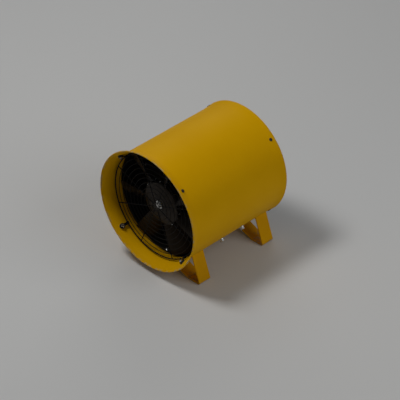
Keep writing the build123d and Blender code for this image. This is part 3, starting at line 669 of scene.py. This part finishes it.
def legContact(footHalf, offset, lean):
    # Where a leg's face, set in by offset, reaches the drum's wall: (x, z) from the axis.
    x, z = footHalf - offset * cos(lean), -axisZ - offset * sin(lean)
    dx, dz = -sin(lean), cos(lean)
    b = x * dx + z * dz
    run = -b - (b * b - (x * x + z * z - drumRadius ** 2)) ** 0.5
    return x + dx * run, z + dz * run


def makeBeads(name, node, seed, look, tree):
    low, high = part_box(node)
    span = high[1] - low[1] - 2 * look["inset"]
    mesh = bpy.data.meshes.new(name)
    shape = bmesh.new()
    for side in (-1, 1):
        for offset in (0, strapThick):
            x, z = legContact((high[0] - low[0]) / 2, offset, look["lean"])
            x, z = x * (1 + look["lift"] / drumRadius), z * (1 + look["lift"] / drumRadius)
            row = growMesh(name, tree, {
                "Start": (axisX + side * x, low[1] + look["inset"], axisZ + z),
                "Step": (0, span / (look["beads"] - 1), 0), "Count": look["beads"],
                "Radius": look["beadRadius"], "Seed": seed + side + int(offset > 0) * 5,
                "Material": materials["foot_paint"]})
            shape.from_mesh(row)
            bpy.data.meshes.remove(row)
    shape.to_mesh(mesh)
    shape.free()
    newPiece(name, mesh, "foot_paint", smooth=60)


rowTree = beadTree()
for name, node, seed in (("frontFootWelds", "front_foot", 3), ("rearFootWelds", "rear_foot", 17)):
    makeBeads(name, node, seed, strapLook, rowTree)
print("foot welds made")


# ---- motor: cooling ribs round the shell, by geometry nodes

def ribTree():
    tree, given = newTree("ribArc", (
        ("From Angle", "Float"), ("Angle Step", "Float"), ("Count", "Int"), ("Radius", "Float"),
        ("Size", "Vector"), ("Place", "Vector")))
    maths = mathsFor(tree)
    index = tree.nodes.new("GeometryNodeInputIndex")
    angle = maths("ADD", given["From Angle"], maths("MULTIPLY", index.outputs[0], given["Angle Step"]))
    spot = addNode(tree, "ShaderNodeCombineXYZ",
                   {"X": maths("MULTIPLY", given["Radius"], maths("COSINE", angle)),
                    "Z": maths("MULTIPLY", given["Radius"], maths("SINE", angle))})
    aim = addNode(tree, "ShaderNodeCombineXYZ", {"Y": maths("MULTIPLY", angle, -1.0)})
    points = addNode(tree, "GeometryNodePoints", {"Count": given["Count"], "Position": spot.outputs[0]})
    rib = addNode(tree, "GeometryNodeMeshCube", {"Size": given["Size"]})
    ribs = addNode(tree, "GeometryNodeInstanceOnPoints",
                   {"Points": points.outputs["Points"], "Instance": rib.outputs["Mesh"],
                    "Rotation": aim.outputs[0]})
    stand = addNode(tree, "GeometryNodeTransform",
                    {"Geometry": ribs.outputs["Instances"], "Translation": given["Place"]})
    return endTree(tree, stand.outputs["Geometry"], given["Material"])


# Arcs of ribs in degrees, left clear of the capacitor cover, the conduit and the motor's feet.
ribLook = {"arcs": ((-27, 70), (111, 165), (195, 208), (246, 296)), "step": 6.5, "height": 0.0055,
           "width": 0.0022, "sink": 0.0006, "endGap": 0.012, "bevel": 0.0005}


def makeRibs(look, tree):
    low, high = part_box("motor_shell")
    radius = (high[0] - low[0]) / 2
    size = (look["height"], high[1] - low[1] - 2 * look["endGap"], look["width"])
    mesh = bpy.data.meshes.new("motorRibs")
    shape = bmesh.new()
    for first, last in look["arcs"]:
        count = int((last - first) / look["step"]) + 1
        arc = growMesh("ribArc", tree, {
            "From Angle": radians(first), "Angle Step": radians((last - first) / (count - 1)),
            "Count": count, "Radius": radius - look["sink"] + look["height"] / 2, "Size": size,
            "Place": (axisX, (low[1] + high[1]) / 2, axisZ), "Material": materials["motor_paint"]})
        shape.from_mesh(arc)
        bpy.data.meshes.remove(arc)
    bmesh.ops.bevel(shape, geom=list(shape.edges), offset=look["bevel"], segments=2, profile=0.6,
                    affect="EDGES")
    shape.to_mesh(mesh)
    shape.free()
    newPiece("motorRibs", mesh, "motor_paint", smooth=35)
    print("motor ribs made:", len(mesh.polygons), "faces")


makeRibs(ribLook, ribTree())


# ---- conduit: a corrugated sleeve between the switch box and the motor

conduitLook = {"radius": 0.0080, "wall": 0.0012, "wave": 0.0011, "pitch": 0.0042,
               "motorGap": 0.012, "grommetGap": 0.003, "steps": 40,
               "waveShape": ((0.25, 0.85), (0.5, 1.0), (0.75, 0.85), (1.0, 0.0))}


def makeConduit(look):
    low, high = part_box("conduit")
    first, last = axisX - high[0], axisX - low[0]
    waveFirst = first + look["motorGap"]
    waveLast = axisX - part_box("wall_grommet")[1][0] - look["grommetGap"]
    outer = [(look["radius"], first), (look["radius"], waveFirst)]
    turns = int((waveLast - waveFirst) / look["pitch"])
    for i in range(turns):
        for share, rise in look["waveShape"]:
            t = waveFirst + (i + share) * look["pitch"]
            outer.append((look["radius"] + look["wave"] * rise, t))
    outer += [(look["radius"], last)]
    inner = [(look["radius"] - look["wall"], last), (look["radius"] - look["wall"], first)]
    sleeve = newPiece("conduitSleeve", latheMesh("conduitSleeve", outer + inner, look["steps"],
                      roundConduit), "sleeve_grey", smooth=60)
    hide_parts("conduit")
    print("conduit made")


makeConduit(conduitLook)
